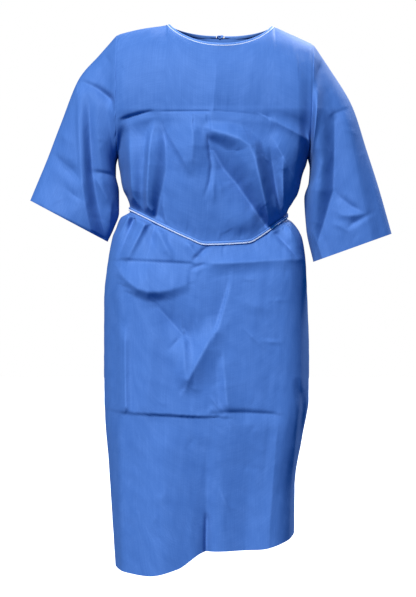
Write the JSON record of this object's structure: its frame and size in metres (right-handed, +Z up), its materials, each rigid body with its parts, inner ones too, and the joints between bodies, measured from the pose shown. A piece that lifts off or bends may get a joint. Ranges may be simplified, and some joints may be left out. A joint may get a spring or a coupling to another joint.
{
  "type": "disposable exam gown",
  "caption": "Worn-form exam gown of thin blue non-woven cloth: round bound neck, wide elbow sleeves, narrow tie belt, and back panels that lap and tie.",
  "frame": {"origin": "middle of the shoulder line, between the tops of the two shoulders, where the wearer holds the gown up", "axes": "+Z up along the worn gown, -Y out of its front, +X to the wearer's left"},
  "size_m": [0.7272, 0.2872, 1.0935],
  "materials": {
    "front": "matte thin non-woven cloth",
    "back_right": "matte thin non-woven cloth",
    "back_left": "matte thin non-woven cloth",
    "sleeve_right": "matte thin non-woven cloth",
    "sleeve_left": "matte thin non-woven cloth",
    "neck_binding": "matte narrow folded tape",
    "neck_knot": "matte narrow folded tape",
    "neck_tail_right": "matte narrow folded tape",
    "neck_tail_left": "matte narrow folded tape",
    "belt": "matte narrow folded tape",
    "belt_knot": "matte narrow folded tape",
    "belt_tail_right": "matte narrow folded tape",
    "belt_tail_left": "matte narrow folded tape"
  },
  "bodies": {
    "root": {"front": "front", "back_right": "back_right", "back_left": "back_left", "sleeve_right": "sleeve_right", "sleeve_left": "sleeve_left", "neck_binding": "neck_binding", "neck_knot": "neck_knot", "neck_tail_right": "neck_tail_right", "neck_tail_left": "neck_tail_left", "belt": "belt", "belt_knot": "belt_knot", "belt_tail_right": "belt_tail_right", "belt_tail_left": "belt_tail_left"}
  },
  "joints": []
}
